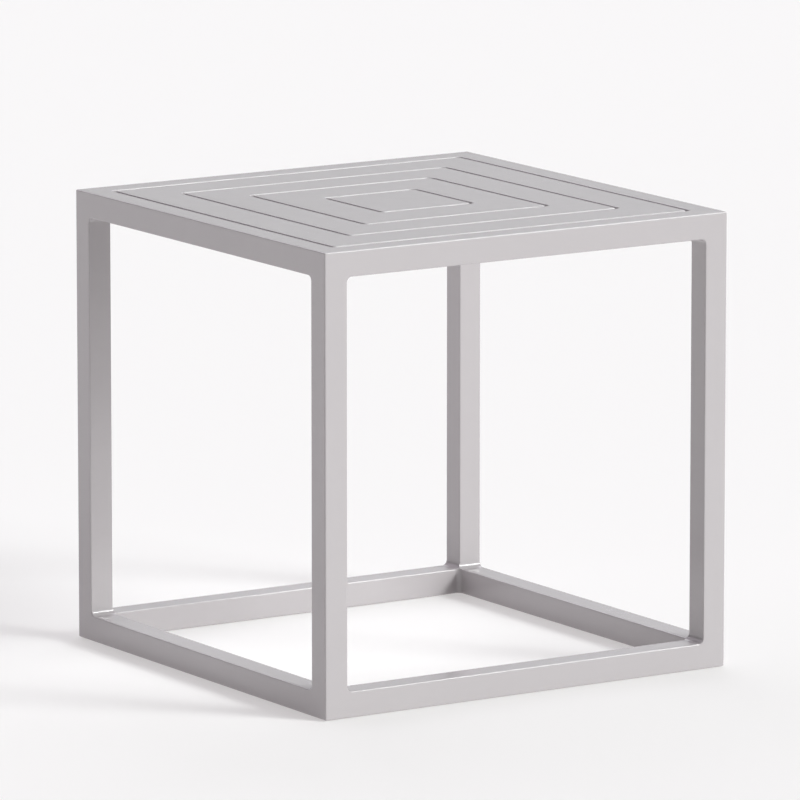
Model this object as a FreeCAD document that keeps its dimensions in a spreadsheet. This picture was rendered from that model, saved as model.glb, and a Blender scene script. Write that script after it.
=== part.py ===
import FreeCAD, Part
import Sketcher
import os

# Square side table: an open cube of welded square tube with a flush top of concentric mitred slats.
# Millimetres, +Z up, X along the front. The origin is on the floor, under the middle of the table.

V = FreeCAD.Vector
UP = V(0, 0, 1)

doc = FreeCAD.newDocument("square_side_table")
sheet = doc.addObject("Spreadsheet::Sheet", "dims")

SIZES = [
    ("width", 460.0, "overall width and depth of the square table"),
    ("height", 450.0, "floor to table top, glides included"),
    ("tube", 25.0, "outside of the square frame tube"),
    ("tube_wall", 2.0, "wall of the frame tube"),
    ("edge_rad", 1.2, "rounding along the tube edges"),
    ("corner_rad", 1.5, "rounding of the upright outer edges, from leg to mitred corner"),
    ("weld_rad", 5.5, "hollow fillet of dressed weld in the inner corners"),
    ("slot_gap", 3.6, "open gap between neighbouring rings of the top"),
    ("slat_wide", 45.4, "width of the slats in the outer and middle rings"),
    ("slat_wide_in", 49.4, "width of the slats in the inner ring"),
    ("slat_thick", 12.0, "depth of the slats"),
    ("slat_wall", 1.6, "wall of the slat extrusion"),
    ("slat_rad", 1.0, "rounding along the slat edges"),
    ("slat_weld_rad", 6.5, "hollow fillet of dressed weld in the inner corners of a slat ring"),
    ("slat_corner_rad", 2.6, "rounding of the outer corners of a slat ring and of the centre panel"),
    ("bar_wide", 20.0, "width of the support bars"),
    ("bar_thick", 12.0, "depth of the support bars"),
    ("bar_wall", 1.5, "wall of the support bars"),
    ("bar_reach", 700.0, "blank length of a support bar, before it is fitted to the frame"),
    ("glide_proud", 1.0, "height of a glide's head, which lifts the frame off the floor"),
    ("glide_head", 16.0, "diameter of a glide's head"),
    ("glide_stem", 8.0, "diameter of a glide's stem"),
    ("glide_grip", 9.0, "length of a glide's stem"),
    ("glide_room", 0.2, "how much wider the hole is than the stem"),
    ("glide_inset", 40.0, "glide's axis in from the end of its rail"),
    ("drain_hole", 6.0, "drain and vent hole under the middle of each base rail"),
    ("spare", 6.0, "how far a cutting shape runs past what it cuts"),
]


class Size:
    """A number together with the expression on the sheet that it comes from."""

    def __init__(self, value, text):
        self.value, self.text = float(value), text

    @staticmethod
    def of(other):
        return other if isinstance(other, Size) else Size(other, repr(float(other)))

    def __add__(self, other):
        other = Size.of(other)
        return Size(self.value + other.value, "(%s + %s)" % (self.text, other.text))

    def __sub__(self, other):
        other = Size.of(other)
        return Size(self.value - other.value, "(%s - %s)" % (self.text, other.text))

    def __mul__(self, other):
        other = Size.of(other)
        return Size(self.value * other.value, "(%s * %s)" % (self.text, other.text))

    def __truediv__(self, other):
        other = Size.of(other)
        return Size(self.value / other.value, "(%s / %s)" % (self.text, other.text))

    def __neg__(self):
        return Size(-self.value, "(-1 * %s)" % self.text)


S = {}
for row, (alias, value, what) in enumerate(SIZES, 1):
    sheet.set("A%d" % row, alias)
    sheet.set("B%d" % row, repr(value))
    sheet.set("C%d" % row, what)
    sheet.setAlias("B%d" % row, alias)
    S[alias] = Size(value, "dims." + alias)
doc.recompute()

NONE = Size(0, "0")
half = S["width"] / 2
inner = half - S["tube"]  # from the middle to the inside of the frame
frame_high = S["height"] - S["glide_proud"]
spare = S["spare"]


def bind(obj, prop, size):
    obj.setExpression(prop, size.text)


def new_body(name):
    return doc.addObject("PartDesign::Body", name)


def new_sketch(body, name, role):
    sk = body.newObject("Sketcher::SketchObject", name)
    sk.AttachmentSupport = [([f for f in body.Origin.OriginFeatures if f.Role == role][0], "")]
    sk.MapMode = "FlatFace"
    return sk


def pin(sk, geo, end, x, y):
    for kind, axis, size in (("DistanceX", -2, x), ("DistanceY", -1, y)):
        if abs(size.value) < 1e-9:
            sk.addConstraint(Sketcher.Constraint("PointOnObject", geo, end, axis))
        else:
            c = sk.addConstraint(Sketcher.Constraint(kind, -1, 1, geo, end, size.value))
            sk.renameConstraint(c, "%s%d_%d" % (kind[-1].lower(), geo, end))
            bind(sk, "Constraints.%s%d_%d" % (kind[-1].lower(), geo, end), size)


def line(sk, a, b):
    return sk.addGeometry(Part.LineSegment(V(a[0].value, a[1].value, 0), V(b[0].value, b[1].value, 0)), False)


def outline(sk, points):
    """A closed outline of straight lines with every corner held by the sheet."""
    ids = [line(sk, a, b) for a, b in zip(points, points[1:] + points[:1])]
    for i, g in enumerate(ids):
        sk.addConstraint(Sketcher.Constraint("Coincident", g, 2, ids[(i + 1) % len(ids)], 1))
    for g, (x, y) in zip(ids, points):
        pin(sk, g, 1, x, y)
    return ids


def rectangle(sk, x0, x1, y0, y1):
    return outline(sk, [(x0, y0), (x1, y0), (x1, y1), (x0, y1)])


def rounded_rectangle(sk, x0, x1, y0, y1, r):
    """A rectangle whose corners are tangent arcs of radius r."""
    runs = [
        ((x0 + r, y0), (x1 - r, y0)),
        ((x1, y0 + r), (x1, y1 - r)),
        ((x1 - r, y1), (x0 + r, y1)),
        ((x0, y1 - r), (x0, y0 + r)),
    ]
    middles = [(x1 - r, y0 + r), (x1 - r, y1 - r), (x0 + r, y1 - r), (x0 + r, y0 + r)]
    lines = [line(sk, a, b) for a, b in runs]
    arcs = []
    for i, (mx, my) in enumerate(middles):
        circle = Part.Circle(V(mx.value, my.value, 0), UP, r.value)
        turn = (i - 1) * 1.5707963267948966
        arcs.append(sk.addGeometry(Part.ArcOfCircle(circle, turn, turn + 1.5707963267948966), False))
    for i in range(4):
        sk.addConstraint(Sketcher.Constraint("Tangent", lines[i], 2, arcs[i], 1))
        sk.addConstraint(Sketcher.Constraint("Coincident", arcs[i], 2, lines[(i + 1) % 4], 1))
    for g, (a, b) in zip(lines, runs):
        pin(sk, g, 1, *a)
        pin(sk, g, 2, *b)


def edge_scrap(sk, x, y, sx, sy, r):
    """The scrap outside a rounded convex edge at x, y. sx and sy point from the edge into the material."""
    ax, ay = x + r * sx, y + r * sy
    pts = [(ax, y), (ax, y - r * sy), (x - r * sx, y - r * sy), (x - r * sx, ay), (x, ay)]
    ids = [line(sk, a, b) for a, b in zip(pts, pts[1:])]
    circle = Part.Circle(V(ax.value, ay.value, 0), UP, r.value)
    turn = {(1, 1): 2, (-1, 1): 3, (-1, -1): 0, (1, -1): 1}[(sx, sy)] * 1.5707963267948966
    arc = sk.addGeometry(Part.ArcOfCircle(circle, turn, turn + 1.5707963267948966), False)
    for a, b in zip(ids, ids[1:]):
        sk.addConstraint(Sketcher.Constraint("Coincident", a, 2, b, 1))
    first, last = (1, 2) if sx * sy < 0 else (2, 1)
    sk.addConstraint(Sketcher.Constraint("Perpendicular", arc, first, ids[0], 1))
    sk.addConstraint(Sketcher.Constraint("Coincident", arc, last, ids[-1], 2))
    for g, p in zip(ids, pts):
        pin(sk, g, 1, *p)
    pin(sk, ids[-1], 2, *pts[-1])


def pad(body, sk, length, name, both=False):
    f = body.newObject("PartDesign::Pad", name)
    f.Profile = sk
    f.SideType = "Symmetric" if both else "One side"
    f.Length = length.value
    bind(f, "Length", length)
    return f


def pocket(body, sk, name, length=None, both=True, flip=False):
    f = body.newObject("PartDesign::Pocket", name)
    f.Profile = sk
    f.SideType = "Symmetric" if both else "One side"
    f.Reversed = flip
    if length is None:
        f.Type = "ThroughAll"
    else:
        f.Length = length.value
        bind(f, "Length", length)
    return f


def fillet(body, name, radius, wanted):
    doc.recompute()
    base = body.Tip
    names = ["Edge%d" % i for i, e in enumerate(base.Shape.Edges, 1) if wanted(e)]
    f = body.newObject("PartDesign::Fillet", name)
    f.Base = (base, names)
    f.Radius = radius.value
    bind(f, "Radius", radius)
    doc.recompute()
    return f


def lift(obj, z):
    bind(obj, "Placement.Base.z", z)


def place(obj, z=None, turn=0.0):
    obj.Placement = FreeCAD.Placement(V(0, 0, z.value if z else 0), FreeCAD.Rotation(UP, turn))
    if z:
        lift(obj, z)


def box(name, x0, x1, y0, y1, z0, z1):
    b = doc.addObject("Part::Box", name)
    for prop, lo, hi in (("Length", x0, x1), ("Width", y0, y1), ("Height", z0, z1)):
        bind(b, prop, hi - lo)
    for axis, lo in (("x", x0), ("y", y0), ("z", z0)):
        bind(b, "Placement.Base." + axis, lo)
    return b


def boolean(kind, name, base, tool):
    f = doc.addObject("Part::" + kind, name)
    f.Base, f.Tool = base, tool
    return f


pieces = []


def keep(obj, label):
    obj.Label = label
    pieces.append(obj)
    return obj


# ---------------------------------------------------------------- welded frame, as one outline

frame = new_body("frame_outline")
sk = new_sketch(frame, "frame_plan", "XY_Plane")
rounded_rectangle(sk, -half, half, -half, half, S["corner_rad"])
pad(frame, sk, frame_high, "frame_block")
sk = new_sketch(frame, "front_opening", "XZ_Plane")
rounded_rectangle(sk, -inner, inner, S["tube"], frame_high - S["tube"], S["weld_rad"])
pocket(frame, sk, "front_to_back")
sk = new_sketch(frame, "side_opening", "YZ_Plane")
rounded_rectangle(sk, -inner, inner, S["tube"], frame_high - S["tube"], S["weld_rad"])
pocket(frame, sk, "side_to_side")
sk = new_sketch(frame, "plan_opening", "XY_Plane")
rounded_rectangle(sk, -inner, inner, -inner, inner, S["weld_rad"])
pocket(frame, sk, "top_to_bottom")


def on_skin(edge):
    """An edge in one of the six outer faces. The upright corners are round already."""
    b = edge.BoundBox
    hw, hz, e = half.value, frame_high.value, 1e-4
    flat = lambda lo, hi, at: abs(lo - at) < e and abs(hi - at) < e
    return b.ZLength < hz - 1 and any(
        (
            flat(b.XMin, b.XMax, -hw),
            flat(b.XMin, b.XMax, hw),
            flat(b.YMin, b.YMax, -hw),
            flat(b.YMin, b.YMax, hw),
            flat(b.ZMin, b.ZMax, 0),
            flat(b.ZMin, b.ZMax, hz),
        )
    )


fillet(frame, "outer_edges", S["edge_rad"], on_skin)

low, high = S["tube"], frame_high - S["tube"]
run_flat = (inner - S["weld_rad"]) * 2
run_up = high - low - S["weld_rad"] * 2
for name, role in (("edges_along_x", "YZ_Plane"), ("edges_along_y", "XZ_Plane")):
    sk = new_sketch(frame, name + "_sketch", role)
    edge_scrap(sk, -inner, low, -1, -1, S["edge_rad"])
    edge_scrap(sk, inner, low, 1, -1, S["edge_rad"])
    edge_scrap(sk, -inner, high, -1, 1, S["edge_rad"])
    edge_scrap(sk, inner, high, 1, 1, S["edge_rad"])
    pocket(frame, sk, name, run_flat)
sk = new_sketch(frame, "edges_up_sketch", "XY_Plane")
for sx in (-1, 1):
    for sy in (-1, 1):
        edge_scrap(sk, inner * sx, inner * sy, sx, sy, S["edge_rad"])
sk.AttachmentOffset = FreeCAD.Placement(V(0, 0, frame_high.value / 2), FreeCAD.Rotation())
bind(sk, "AttachmentOffset.Base.z", frame_high / 2)
pocket(frame, sk, "edges_up", run_up)
place(frame, S["glide_proud"])
doc.recompute()

# ---------------------------------------------------------------- frame tubes cut from that outline

base_z = S["glide_proud"]
base_top = base_z + S["tube"]
rail_z = S["height"] - S["tube"]
wall = S["tube_wall"]


def mitre_block(name, turn, z0, z1):
    """The blank of one mitred rail, running past the outside of the frame."""
    body = new_body(name)
    sk = new_sketch(body, name + "_plan", "XY_Plane")
    out = half + spare
    outline(sk, [(-out, -out), (out, -out), (inner, -inner), (-inner, -inner)])
    pad(body, sk, z1 - z0, name + "_pad")
    place(body, z0, turn)
    return body


def ring_hollow(name, z0, z1):
    """The hollow inside four mitred tubes, all the way round."""
    a, b = half - wall, inner + wall
    big = box(name + "_out", -a, a, -a, a, z0 + wall, z1 - wall)
    small = box(name + "_in", -b, b, -b, b, z0, z1)
    return boolean("Cut", name, big, small)


def bore(name, x, y, dia, z0, z1):
    c = doc.addObject("Part::Cylinder", name)
    bind(c, "Radius", dia / 2)
    bind(c, "Height", z1 - z0)
    bind(c, "Placement.Base.x", x)
    bind(c, "Placement.Base.y", y)
    lift(c, z0)
    return c


mid_tube = half - S["tube"] / 2
glide_x = half - S["glide_inset"]
glide_spots = [
    ("front_left", -glide_x, -mid_tube),
    ("front_right", glide_x, -mid_tube),
    ("back_left", -glide_x, mid_tube),
    ("back_right", glide_x, mid_tube),
]
drain_spots = [("front", NONE, -mid_tube), ("right", mid_tube, NONE), ("back", NONE, mid_tube), ("left", -mid_tube, NONE)]

top_hollow = ring_hollow("top_hollow", rail_z, S["height"])
base_ring_hollow = ring_hollow("base_ring_hollow", base_z, base_top)
holes = [
    bore("stem_hole_" + n, x, y, S["glide_stem"] + S["glide_room"], base_z - spare, base_z + wall * 2)
    for n, x, y in glide_spots
]
holes += [bore("drain_" + n, x, y, S["drain_hole"], base_z - spare, base_z + wall * 2) for n, x, y in drain_spots]
base_hollow = doc.addObject("Part::MultiFuse", "base_hollow")
base_hollow.Shapes = [base_ring_hollow] + holes

SIDES = [("front", 0.0), ("right", 90.0), ("back", 180.0), ("left", 270.0)]
for side, turn in SIDES:
    for level, z0, z1, hollow in (
        ("top", rail_z, S["height"] + spare, top_hollow),
        ("base", base_z - spare, base_top, base_hollow),
    ):
        name = "%s_rail_%s" % (level, side)
        block = mitre_block(name + "_blank", turn, z0, z1)
        skin = boolean("Common", name + "_skin", frame, block)
        keep(boolean("Cut", name + "_tube", skin, hollow), name)

for name, sx, sy in (
    ("leg_front_left", -1, -1),
    ("leg_front_right", 1, -1),
    ("leg_back_left", -1, 1),
    ("leg_back_right", 1, 1),
):
    near, far = inner, half + spare
    x0, x1 = (near, far) if sx > 0 else (-far, -near)
    y0, y1 = (near, far) if sy > 0 else (-far, -near)
    block = box(name + "_blank", x0, x1, y0, y1, base_top, rail_z)
    near, far = inner + wall, half - wall
    x0, x1 = (near, far) if sx > 0 else (-far, -near)
    y0, y1 = (near, far) if sy > 0 else (-far, -near)
    hollow = box(name + "_hollow", x0, x1, y0, y1, base_z, S["height"])
    skin = boolean("Common", name + "_skin", frame, block)
    keep(boolean("Cut", name + "_tube", skin, hollow), name)

# ---------------------------------------------------------------- dressed welds in the inner corners

far = half + spare
blank = box("tube_space_block", -far, far, -far, far, base_z - spare, S["height"] + spare)
gap_y = box("tube_space_y", -inner, inner, -far - spare, far + spare, base_top, rail_z)
gap_x = box("tube_space_x", -far - spare, far + spare, -inner, inner, base_top, rail_z)
gap_z = box("tube_space_z", -inner, inner, -inner, inner, base_z - spare * 2, S["height"] + spare * 2)
gaps = doc.addObject("Part::MultiFuse", "tube_space_gaps")
gaps.Shapes = [gap_x, gap_y, gap_z]
tube_space = boolean("Cut", "tube_space", blank, gaps)
welds = boolean("Cut", "corner_welds", frame, tube_space)
middle = S["height"] / 2
low_half = box("low_half", -far, far, -far, far, base_z - spare, middle)
high_half = box("high_half", -far, far, -far, far, middle, S["height"] + spare)
keep(boolean("Common", "welds_top", welds, high_half), "top_corner_welds")
keep(boolean("Common", "welds_base", welds, low_half), "base_corner_welds")

# ---------------------------------------------------------------- top slats and centre panel

slat_z = S["height"] - S["slat_thick"]
start = S["tube"] + S["slot_gap"]


def loop_edge(e):
    """An edge that lies in the top or the bottom face of a ring."""
    b = e.BoundBox
    return b.ZLength < 1e-6


def ring_outline(name, set_in, wide):
    """One welded and dressed ring of slats, solid, with every edge eased."""
    a, b = half - set_in, half - set_in - wide
    body = new_body(name)
    sk = new_sketch(body, name + "_plan", "XY_Plane")
    rounded_rectangle(sk, -a, a, -a, a, S["slat_corner_rad"])
    pad(body, sk, S["slat_thick"], name + "_pad")
    sk = new_sketch(body, name + "_opening", "XY_Plane")
    rounded_rectangle(sk, -b, b, -b, b, S["slat_weld_rad"])
    pocket(body, sk, name + "_open")
    fillet(body, name + "_eased", S["slat_rad"], loop_edge)
    place(body, slat_z)
    return body


def slat_blank(name, turn, set_in, wide):
    """The blank of one mitred slat, running past the outside of its ring."""
    out, b = half - set_in + spare, half - set_in - wide
    body = new_body(name)
    sk = new_sketch(body, name + "_plan", "XY_Plane")
    outline(sk, [(-out, -out), (out, -out), (b, -b), (-b, -b)])
    pad(body, sk, S["slat_thick"], name + "_pad")
    place(body, slat_z, turn)
    return body


ring_in = start
ring_welds = []
for ring, wide in (("outer", S["slat_wide"]), ("middle", S["slat_wide"]), ("inner", S["slat_wide_in"])):
    name = "ring_" + ring
    whole = ring_outline(name, ring_in, wide)
    b, w = half - ring_in - wide, S["slat_wall"]
    a_in, b_in = half - ring_in - w, b + w
    big = box(name + "_hollow_out", -a_in, a_in, -a_in, a_in, slat_z + w, S["height"] - w)
    small = box(name + "_hollow_in", -b_in, b_in, -b_in, b_in, slat_z, S["height"])
    hollow = boolean("Cut", name + "_hollow", big, small)
    for side, turn in SIDES:
        slat = "slat_%s_%s" % (ring, side)
        skin = boolean("Common", slat + "_skin", whole, slat_blank(slat + "_blank", turn, ring_in, wide))
        keep(boolean("Cut", slat + "_tube", skin, hollow), slat)
    inside = box(name + "_inside", -b, b, -b, b, slat_z - spare, S["height"] + spare)
    ring_welds.append(boolean("Common", name + "_welds", whole, inside))
    ring_in = ring_in + wide + S["slot_gap"]
slat_welds = doc.addObject("Part::MultiFuse", "slat_welds")
slat_welds.Shapes = ring_welds
keep(slat_welds, "slat_corner_welds")

panel = new_body("centre_panel")
c = half - ring_in
sk = new_sketch(panel, "panel_plan", "XY_Plane")
rounded_rectangle(sk, -c, c, -c, c, S["slat_corner_rad"])
pad(panel, sk, S["slat_thick"], "panel_pad")
sk = new_sketch(panel, "panel_hollow_sketch", "XY_Plane")
k = c - S["slat_wall"]
rectangle(sk, -k, k, -k, k)
pocket(panel, sk, "panel_hollow", S["slat_thick"] - S["slat_wall"] * 2, both=False, flip=True)


def panel_edge(e):
    return e.BoundBox.ZMin > S["slat_thick"].value - 1e-4


fillet(panel, "panel_eased", S["slat_rad"], panel_edge)
place(panel, slat_z)
keep(panel, "centre_panel")

# ---------------------------------------------------------------- support bars under the mitres

bar_z = slat_z - S["bar_thick"]
fit = new_body("bar_space")
sk = new_sketch(fit, "bar_space_plan", "XY_Plane")
rounded_rectangle(sk, -inner, inner, -inner, inner, S["weld_rad"])
pad(fit, sk, frame_high, "bar_space_pad")
place(fit, base_z)


def bar(name, turn, x0, x1):
    side = S["bar_wide"] / 2
    body = new_body(name + "_blank")
    sk = new_sketch(body, name + "_plan", "XY_Plane")
    rectangle(sk, x0, x1, -side, side)
    pad(body, sk, S["bar_thick"], name + "_pad")

    def long_edge(e):
        bb = e.BoundBox
        return bb.YLength < 1e-6 and bb.ZLength < 1e-6 and bb.XLength > 1

    body.Tip = body.Group[-1]
    fillet(body, name + "_eased", S["slat_rad"], long_edge)
    sk = new_sketch(body, name + "_hollow_sketch", "YZ_Plane")
    w = S["bar_wall"]
    rectangle(sk, -side + w, side - w, w, S["bar_thick"] - w)
    pocket(body, sk, name + "_hollow")
    place(body, bar_z, turn)
    return keep(boolean("Common", name + "_fitted", body, fit), name)


reach = S["bar_reach"] / 2
bar("support_bar_long", 45.0, -reach, reach)
bar("support_bar_half_a", -45.0, S["bar_wide"] / 2, reach)
bar("support_bar_half_b", 135.0, S["bar_wide"] / 2, reach)

# ---------------------------------------------------------------- floor glides

for spot, x, y in glide_spots:
    name = "glide_" + spot
    body = new_body(name)
    sk = new_sketch(body, name + "_half", "XZ_Plane")
    head, stem, ease = S["glide_head"] / 2, S["glide_stem"] / 2, S["glide_proud"] / 3
    top = S["glide_proud"] + S["glide_grip"]
    outline(
        sk,
        [
            (NONE, NONE),
            (head - ease, NONE),
            (head, ease),
            (head, S["glide_proud"]),
            (stem, S["glide_proud"]),
            (stem, top - stem / 4),
            (stem * 0.75, top),
            (NONE, top),
        ],
    )
    f = body.newObject("PartDesign::Revolution", name + "_turned")
    f.Profile = sk
    f.ReferenceAxis = (sk, ["V_Axis"])
    f.Angle = 360.0
    bind(body, "Placement.Base.x", x)
    bind(body, "Placement.Base.y", y)
    keep(body, name)

doc.recompute()

# ---------------------------------------------------------------- look at every object, then write

bad = []
for obj in doc.Objects:
    if any(s in obj.State for s in ("Invalid", "Error")):
        bad.append("%s: %s" % (obj.Name, obj.State))
for obj in pieces:
    if obj.Shape.isNull() or not obj.Shape.isValid() or not obj.Shape.Solids:
        bad.append("%s: no valid solid" % obj.Label)
if bad:
    raise RuntimeError("; ".join(bad))

os.makedirs("parts", exist_ok=True)
for obj in pieces:
    obj.Shape.exportStep("parts/%s.step" % obj.Label)
    b = obj.Shape.BoundBox
    print(
        "%-20s solids %d  volume %10.1f  x %.1f..%.1f  y %.1f..%.1f  z %.1f..%.1f"
        % (obj.Label, len(obj.Shape.Solids), obj.Shape.Volume, b.XMin, b.XMax, b.YMin, b.YMax, b.ZMin, b.ZMax)
    )
print(len(pieces), "pieces")
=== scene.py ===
import math

import bmesh
import bpy
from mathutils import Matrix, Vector


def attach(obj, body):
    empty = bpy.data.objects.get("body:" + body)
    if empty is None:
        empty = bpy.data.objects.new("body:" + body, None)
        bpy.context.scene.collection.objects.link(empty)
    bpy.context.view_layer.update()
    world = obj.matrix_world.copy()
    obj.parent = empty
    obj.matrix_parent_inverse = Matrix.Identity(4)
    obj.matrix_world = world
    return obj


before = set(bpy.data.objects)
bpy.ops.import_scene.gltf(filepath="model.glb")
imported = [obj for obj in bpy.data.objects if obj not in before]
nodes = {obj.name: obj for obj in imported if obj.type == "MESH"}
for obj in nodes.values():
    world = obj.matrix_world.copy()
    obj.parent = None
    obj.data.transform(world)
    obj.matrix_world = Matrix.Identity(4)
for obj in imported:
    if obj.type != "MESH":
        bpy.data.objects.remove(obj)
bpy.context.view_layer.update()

scene = bpy.context.scene

# ------------------------------------------------------------------ materials


def new_material(name):
    m = bpy.data.materials.new(name)
    m.use_nodes = True
    nt = m.node_tree
    bsdf = next(n for n in nt.nodes if n.type == "BSDF_PRINCIPLED")
    return m, nt, bsdf


def noise(nt, coord, scale, detail=2.0, roughness=0.5):
    n = nt.nodes.new("ShaderNodeTexNoise")
    n.inputs["Scale"].default_value = scale
    n.inputs["Detail"].default_value = detail
    n.inputs["Roughness"].default_value = roughness
    nt.links.new(coord, n.inputs["Vector"])
    return n.outputs["Fac"]


def blend(nt, factor, a, b):
    """A share of b in a, both of them patterns."""
    n = nt.nodes.new("ShaderNodeMix")
    n.data_type = "FLOAT"
    n.inputs["Factor"].default_value = factor
    nt.links.new(a, n.inputs["A"])
    nt.links.new(b, n.inputs["B"])
    return n.outputs["Result"]


def ranged(nt, value, lo, hi, to_lo, to_hi):
    n = nt.nodes.new("ShaderNodeMapRange")
    n.inputs["From Min"].default_value = lo
    n.inputs["From Max"].default_value = hi
    n.inputs["To Min"].default_value = to_lo
    n.inputs["To Max"].default_value = to_hi
    nt.links.new(value, n.inputs["Value"])
    return n.outputs["Result"]


def edge_mask(nt):
    """1 on the rounded edges of the squared stock and 0 on its flats, from the surface's own normal."""
    N, L = nt.nodes, nt.links
    size = N.new("ShaderNodeVectorMath")
    size.operation = "ABSOLUTE"
    L.new(N.new("ShaderNodeNewGeometry").outputs["Normal"], size.inputs[0])
    axes = N.new("ShaderNodeSeparateXYZ")
    L.new(size.outputs["Vector"], axes.inputs["Vector"])
    most = axes.outputs["X"]
    for axis in "YZ":
        m = N.new("ShaderNodeMath")
        m.operation = "MAXIMUM"
        L.new(most, m.inputs[0])
        L.new(axes.outputs[axis], m.inputs[1])
        most = m.outputs["Value"]
    return ranged(nt, most, 0.995, 0.85, 0.0, 1.0)


def powder_coat(name, colour, rough, peel=1.0, edge=True):
    """Satin powder coat: orange peel, fine pigment speck and slow drift in shade and gloss.

    On rounded edges the coat runs thinner and the colour is a little lighter, which is partly a painted highlight
    along the edges.
    """
    m, nt, bsdf = new_material(name)
    N, L = nt.nodes, nt.links
    coord = N.new("ShaderNodeTexCoord").outputs["Object"]

    drift = noise(nt, coord, 6.0, 3.0)
    cloud = noise(nt, coord, 70.0, 2.0)
    speck = noise(nt, coord, 2300.0, 2.0, 0.65)
    slow = blend(nt, 0.35, drift, cloud)
    mixed = blend(nt, 0.5, slow, speck)

    ramp = N.new("ShaderNodeValToRGB")
    for e, at, k in zip(ramp.color_ramp.elements, (0.25, 0.75), (0.965, 1.035)):
        e.position, e.color = at, (*[c * k for c in colour], 1)
    L.new(mixed, ramp.inputs["Fac"])
    if edge:
        # rounded edges painted a touch lighter: thinner coat there, and partly a painted highlight
        thin_coat_and_painted_highlight = N.new("ShaderNodeMix")
        thin_coat_and_painted_highlight.data_type = "RGBA"
        thin_coat_and_painted_highlight.inputs["B"].default_value = (*[c * 1.07 for c in colour], 1)
        L.new(edge_mask(nt), thin_coat_and_painted_highlight.inputs["Factor"])
        L.new(ramp.outputs["Color"], thin_coat_and_painted_highlight.inputs["A"])
        L.new(thin_coat_and_painted_highlight.outputs["Result"], bsdf.inputs["Base Color"])
    else:
        L.new(ramp.outputs["Color"], bsdf.inputs["Base Color"])
    L.new(ranged(nt, mixed, 0.3, 0.7, rough - 0.03, rough + 0.03), bsdf.inputs["Roughness"])

    orange = noise(nt, coord, 430.0, 1.5)
    fine = noise(nt, coord, 1500.0, 1.0)
    bump = N.new("ShaderNodeBump")
    bump.inputs["Strength"].default_value = 0.22 * peel
    bump.inputs["Distance"].default_value = 0.00006
    L.new(blend(nt, 0.25, orange, fine), bump.inputs["Height"])
    L.new(bump.outputs["Normal"], bsdf.inputs["Normal"])
    bsdf.inputs["IOR"].default_value = 1.5
    bsdf.inputs["Coat Weight"].default_value = 0.7
    bsdf.inputs["Coat Roughness"].default_value = 0.16
    return m


def nylon(name, colour):
    """Matt moulded nylon with a fine spark-eroded grain."""
    m, nt, bsdf = new_material(name)
    N, L = nt.nodes, nt.links
    coord = N.new("ShaderNodeTexCoord").outputs["Object"]
    grain = noise(nt, coord, 2600.0)
    ramp = N.new("ShaderNodeValToRGB")
    ramp.color_ramp.elements[0].color = (*[c * 0.85 for c in colour], 1)
    ramp.color_ramp.elements[1].color = (*[c * 1.15 for c in colour], 1)
    L.new(grain, ramp.inputs["Fac"])
    L.new(ramp.outputs["Color"], bsdf.inputs["Base Color"])
    L.new(ranged(nt, grain, 0.3, 0.7, 0.55, 0.68), bsdf.inputs["Roughness"])
    bump = N.new("ShaderNodeBump")
    bump.inputs["Strength"].default_value = 0.3
    bump.inputs["Distance"].default_value = 0.00005
    L.new(grain, bump.inputs["Height"])
    L.new(bump.outputs["Normal"], bsdf.inputs["Normal"])
    return m


TAUPE = [0.42 * c for c in (1.0, 0.94, 0.965)]
coat = powder_coat("powder_coat_frame", TAUPE, 0.25, peel=1.6)
coat_top = powder_coat("powder_coat_top", TAUPE, 0.25, peel=1.6)
coat_weld = powder_coat("powder_coat_dressed_weld", TAUPE, 0.25, peel=2.4, edge=False)
coat_under = powder_coat("powder_coat_underside", [c * 0.95 for c in TAUPE], 0.36, peel=1.5, edge=False)
glide_mat = nylon("glide_nylon", (0.085, 0.082, 0.08))


def dress(node, material):
    o = nodes[node]
    o.data.materials.clear()
    o.data.materials.append(material)


for name in nodes:
    if name.endswith("_welds"):
        dress(name, coat_weld)
    elif name.startswith("slat_") or name == "centre_panel":
        dress(name, coat_top)
    elif name.startswith("support_bar"):
        dress(name, coat_under)
    elif name.startswith("glide_"):
        dress(name, glide_mat)
    else:
        dress(name, coat)

# ------------------------------------------------------------------ weld stitches under the top


def bead(verts, faces, start, end, side, other, leg, hollow):
    """One run of weld in the corner between two surfaces, with the ripples of its making.

    side and other are unit vectors out of the corner line, each along one surface.
    """
    a, b = Vector(start), Vector(end)
    run = (b - a).length
    count = max(12, int(run / 0.0004))
    e1, e2 = Vector(side).normalized(), Vector(other).normalized()
    wide = e1.angle(e2)
    across = (e2 - e1 * e1.dot(e2)).normalized()
    steps = 10
    base = len(verts)
    for i in range(count + 1):
        s = run * i / count
        end_gap = min(s, run - s)
        swell = math.sqrt(max(0.02, 1 - (1 - min(1.0, end_gap / 0.0022)) ** 2))
        ripple = (s % 0.0017) / 0.0017
        k = leg * swell * (0.93 + 0.11 * math.sin(math.pi * ripple) + 0.02 * math.sin(s * 2100.0 + start[0] * 900.0))
        at = a + (b - a) * (s / run)
        verts.append(at - (e1 + e2).normalized() * 0.0004)
        for j in range(steps + 1):
            t = -0.10 + (wide + 0.20) * j / steps
            r = k * (1 - hollow * math.sin(math.pi * min(1, max(0, t / wide))))
            verts.append(at + (e1 * math.cos(t) + across * math.sin(t)) * r)
    per = steps + 2
    for i in range(count):
        p, q = base + i * per, base + (i + 1) * per
        for j in range(per):
            n = (j + 1) % per
            faces.append((p + j, p + n, q + n, q + j))
    faces.append(tuple(base + j for j in reversed(range(per))))
    faces.append(tuple(base + count * per + j for j in range(per)))


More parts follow.
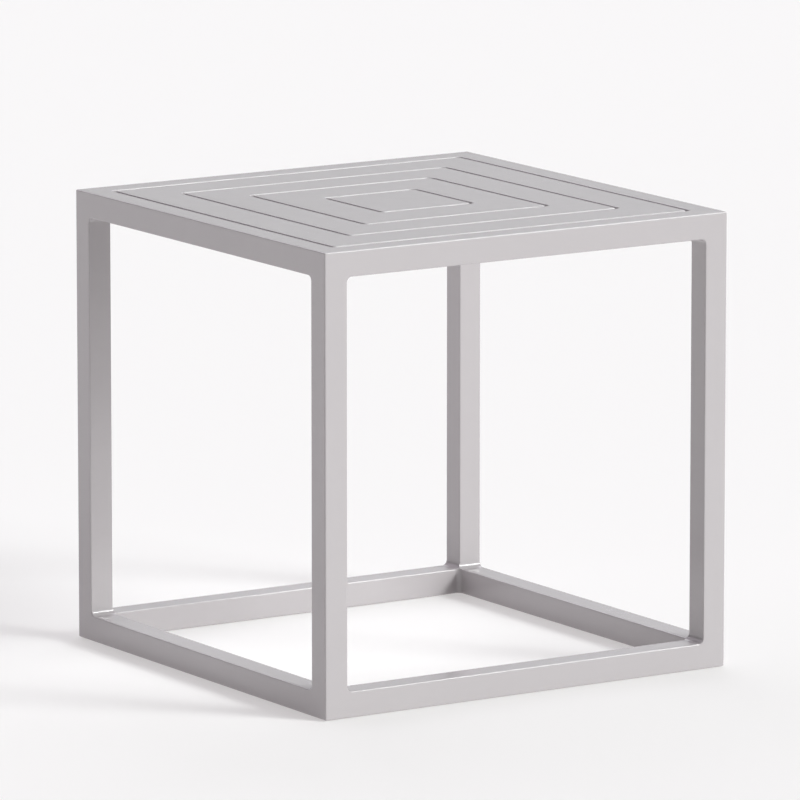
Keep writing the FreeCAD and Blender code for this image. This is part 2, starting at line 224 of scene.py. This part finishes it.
def stitch_welds():
    """Short fillet welds that hold the slats to the bars, the bars to the frame and the half bars to the long bar."""
    verts, faces = [], []
    under, low, half_bar = 0.438, 0.426, 0.010
    r2 = math.sqrt(0.5)
    ways = [Vector((r2 * sx, r2 * sy, 0)) for sx, sy in ((1, 1), (-1, -1), (1, -1), (-1, 1))]
    for d in ways:
        for hand in (-1, 1):
            u = Vector((-d.y, d.x, 0)) * hand
            for mid, run in ((0.2427, 0.026), (0.1734, 0.026), (0.1013, 0.026), (0.040, 0.020)):
                p, q = d * (mid - run / 2) + u * half_bar, d * (mid + run / 2) + u * half_bar
                p.z = q.z = under
                bead(verts, faces, p, q, u, (0, 0, -1), 0.0030, 0.26)
            wall = u.copy()
            if abs(u.x - d.x) > abs(u.y - d.y):
                wall = Vector((math.copysign(1, u.x), 0, 0))
            else:
                wall = Vector((0, math.copysign(1, u.y), 0))
            corner = 0.205
            s = corner / r2 - half_bar
            p = d * s + u * half_bar
            lo, hi = p.copy(), p.copy()
            lo.z, hi.z = low + 0.0012, under - 0.0012
            bead(verts, faces, lo, hi, -d, wall, 0.0045, 0.04)
    for d in ways[2:]:
        for hand in (-1, 1):
            u = Vector((-d.y, d.x, 0)) * hand
            p = d * half_bar + u * half_bar
            lo, hi = p.copy(), p.copy()
            lo.z, hi.z = low + 0.0012, under - 0.0012
            bead(verts, faces, lo, hi, d, u, 0.0030, 0.26)
    mesh = bpy.data.meshes.new("stitch_welds")
    mesh.from_pydata([tuple(v) for v in verts], [], faces)
    mesh.validate()
    mesh.update()
    bm = bmesh.new()
    bm.from_mesh(mesh)
    bmesh.ops.recalc_face_normals(bm, faces=bm.faces)
    bm.to_mesh(mesh)
    bm.free()
    for p in mesh.polygons:
        p.use_smooth = True
    o = bpy.data.objects.new("stitch_welds", mesh)
    scene.collection.objects.link(o)
    mesh.materials.append(coat_under)
    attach(o, "root")
    return o


stitch_welds()

# ------------------------------------------------------------------ floor

mesh = bpy.data.meshes.new("floor")
E = 60.0
mesh.from_pydata([(-E, -E, 0), (E, -E, 0), (E, E, 0), (-E, E, 0)], [], [(0, 1, 2, 3)])
floor = bpy.data.objects.new("floor", mesh)
scene.collection.objects.link(floor)
m, nt, bsdf = new_material("pale_floor")
bsdf.inputs["Base Color"].default_value = (0.5, 0.5, 0.5, 1)
bsdf.inputs["Emission Color"].default_value = (1, 0.972, 0.966, 1)
bsdf.inputs["Emission Strength"].default_value = 0.41
bsdf.inputs["Roughness"].default_value = 0.9
bsdf.inputs["Specular IOR Level"].default_value = 0.1
mesh.materials.append(m)

# ------------------------------------------------------------------ light

# a pale wall all round, brightest at the foot, seen by the paint; the camera sees the plain backdrop
world = bpy.data.worlds.new("studio")
scene.world = world
world.use_nodes = True
wt = world.node_tree
room = next(n for n in wt.nodes if n.type == "BACKGROUND")
room.inputs["Color"].default_value = (1, 1, 1, 1)
GLOW, DIM = 0.40, 0.05
way = wt.nodes.new("ShaderNodeSeparateXYZ")
wt.links.new(wt.nodes.new("ShaderNodeTexCoord").outputs["Generated"], way.inputs["Vector"])
wt.links.new(ranged(wt, way.outputs["Z"], 0.0, 0.5, GLOW, DIM), room.inputs["Strength"])
backdrop = wt.nodes.new("ShaderNodeBackground")
backdrop.inputs["Color"].default_value = (0.96, 0.96, 0.96, 1)
path = wt.nodes.new("ShaderNodeLightPath")
either = wt.nodes.new("ShaderNodeMixShader")
wt.links.new(path.outputs["Is Camera Ray"], either.inputs["Fac"])
wt.links.new(room.outputs["Background"], either.inputs[1])
wt.links.new(backdrop.outputs["Background"], either.inputs[2])
wt.links.new(either.outputs["Shader"], next(n for n in wt.nodes if n.type == "OUTPUT_WORLD").inputs["Surface"])


def far_light(name, azimuth, elevation, wide, power, colour=(1, 1, 1), shine=True):
    """A large distant soft light. Azimuth 0 is in front (-Y), 90 on the right (+X).

    Without shine it lights the paint and leaves no reflection of itself in it.
    """
    data = bpy.data.lights.new(name, "SUN")
    data.angle = math.radians(wide)
    data.energy = power
    data.color = colour
    o = bpy.data.objects.new(name, data)
    a, e = math.radians(azimuth), math.radians(elevation)
    way = Vector((math.sin(a) * math.cos(e), -math.cos(a) * math.cos(e), math.sin(e)))
    o.location = way * 4
    o.rotation_euler = way.to_track_quat("Z", "Y").to_euler()
    o.visible_glossy = shine
    scene.collection.objects.link(o)
    return o


WHITE, ROSE, COOL = (0.976, 1.0, 0.986), (1.0, 0.905, 1.0), (0.955, 0.935, 1.0)
LIGHTS = [
    ("key", 40, 35, 16, 1.67, WHITE, True),
    ("front", 30, 28, 22, 1.11, WHITE, False),
    ("front_low", 33, 16, 30, 0.98, WHITE, False),
    ("front_sheen", 40, 12, 45, 0.12, WHITE, True),
    ("left_back", -135, 38, 45, 0.495, ROSE, True),
    ("back", 180, 38, 45, 0.345, ROSE, True),
    ("back_low", 176, 12, 40, 1.35, WHITE, False),
    ("right_back", 135, 38, 45, 0.86, COOL, True),
    ("rim_back", 150, 12, 45, 0.105, WHITE, True),
]
for spec in LIGHTS:
    far_light(*spec)


def near_light(name, place, aim, wide, power):
    """A soft lamp close by that lights the far foot of the frame and leaves no reflection of itself."""
    data = bpy.data.lights.new(name, "SPOT")
    data.spot_size = math.radians(wide)
    data.spot_blend = 1.0
    data.shadow_soft_size = 0.03
    data.energy = power
    data.color = WHITE
    o = bpy.data.objects.new(name, data)
    o.location = place
    o.rotation_euler = (Vector(place) - Vector(aim)).to_track_quat("Z", "Y").to_euler()
    o.visible_camera = o.visible_glossy = False
    scene.collection.objects.link(o)
    return o


near_light("foot_fill", (0.185, -0.12, 0.395), (-0.15, 0.215, 0.015), 78, 2.3)

# ------------------------------------------------------------------ camera

cam = bpy.data.cameras.new("camera")
cam.sensor_width = 36.0
cam.sensor_fit = "HORIZONTAL"
cam.lens = 379.5
cam.clip_start, cam.clip_end = 0.1, 200.0
cam_obj = bpy.data.objects.new("camera", cam)
cam_obj.location = (-4.3867, -6.8383, 1.7361)
cam_obj.rotation_euler = (math.radians(90 - 10.351), 0, math.radians(-32.688))
scene.collection.objects.link(cam_obj)
scene.camera = cam_obj

scene.view_settings.view_transform = "Standard"
scene.view_settings.look = "None"
